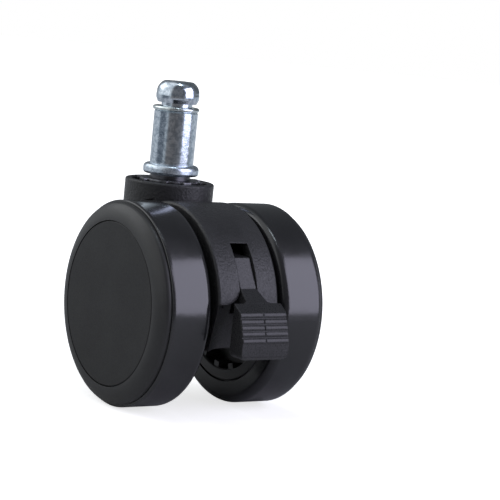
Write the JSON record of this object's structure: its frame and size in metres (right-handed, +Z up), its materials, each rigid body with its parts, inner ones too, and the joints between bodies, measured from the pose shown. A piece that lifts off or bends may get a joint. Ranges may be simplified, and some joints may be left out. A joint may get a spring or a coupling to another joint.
{
  "type": "chair caster wheel",
  "caption": "Hooded twin-wheel swivel caster with a grip-ring stem and a foot brake lever, for an office chair.",
  "frame": {"origin": "centre of the stem's shoulder, where the chair's socket rests", "axes": "+Z up the stem into the chair, +X from the stem towards the foot pedal, +Y along the axle to the left wheel"},
  "size_m": [0.0596, 0.0478, 0.0784],
  "materials": {
    "stem_steel": "bright zinc plating, finely pitted",
    "spring_steel": "plain spring steel",
    "washer_steel": "zinc plated",
    "axle_steel": "ground",
    "bush_acetal": "smooth",
    "housing_nylon": "fine moulded grain",
    "lever_nylon": "fine moulded grain",
    "wheel_nylon": "satin",
    "cap_nylon": "satin",
    "tread_polyurethane": "glossy polyurethane"
  },
  "bodies": {
    "stem": {"stem": "stem_steel", "grip_ring": "spring_steel", "stem_clip": "spring_steel"},
    "housing": {"housing": "housing_nylon", "swivel_bush": "bush_acetal", "star_washer": "washer_steel", "axle": "axle_steel", "axle_washer_left": "washer_steel", "axle_washer_right": "washer_steel", "snap_ring_left": "spring_steel", "snap_ring_right": "spring_steel", "lever_pin": "axle_steel", "detent_spring": "spring_steel"},
    "wheel_left": {"wheel_core_left": "wheel_nylon", "tread_left": "tread_polyurethane", "hub_cap_left": "cap_nylon", "hub_bush_left": "bush_acetal"},
    "wheel_right": {"wheel_core_right": "wheel_nylon", "tread_right": "tread_polyurethane", "hub_cap_right": "cap_nylon", "hub_bush_right": "bush_acetal"},
    "brake_lever": {"brake_lever": "lever_nylon"}
  },
  "joints": [
    {"name": "swivel", "type": "hinge", "parent": "stem", "child": "housing", "pos_m": [0, 0, 0], "axis": [0, 0, 1], "continuous": true},
    {"name": "wheel_left_spin", "type": "hinge", "parent": "housing", "child": "wheel_left", "pos_m": [0.0153, 0, -0.0326], "axis": [0, 1, 0], "continuous": true},
    {"name": "wheel_right_spin", "type": "hinge", "parent": "housing", "child": "wheel_right", "pos_m": [0.0153, 0, -0.0326], "axis": [0, 1, 0], "continuous": true},
    {"name": "brake_lever_rock", "type": "hinge", "parent": "housing", "child": "brake_lever", "pos_m": [0.0268, 0, -0.0206], "axis": [0, 1, 0], "range_deg": [0, 8]}
  ]
}
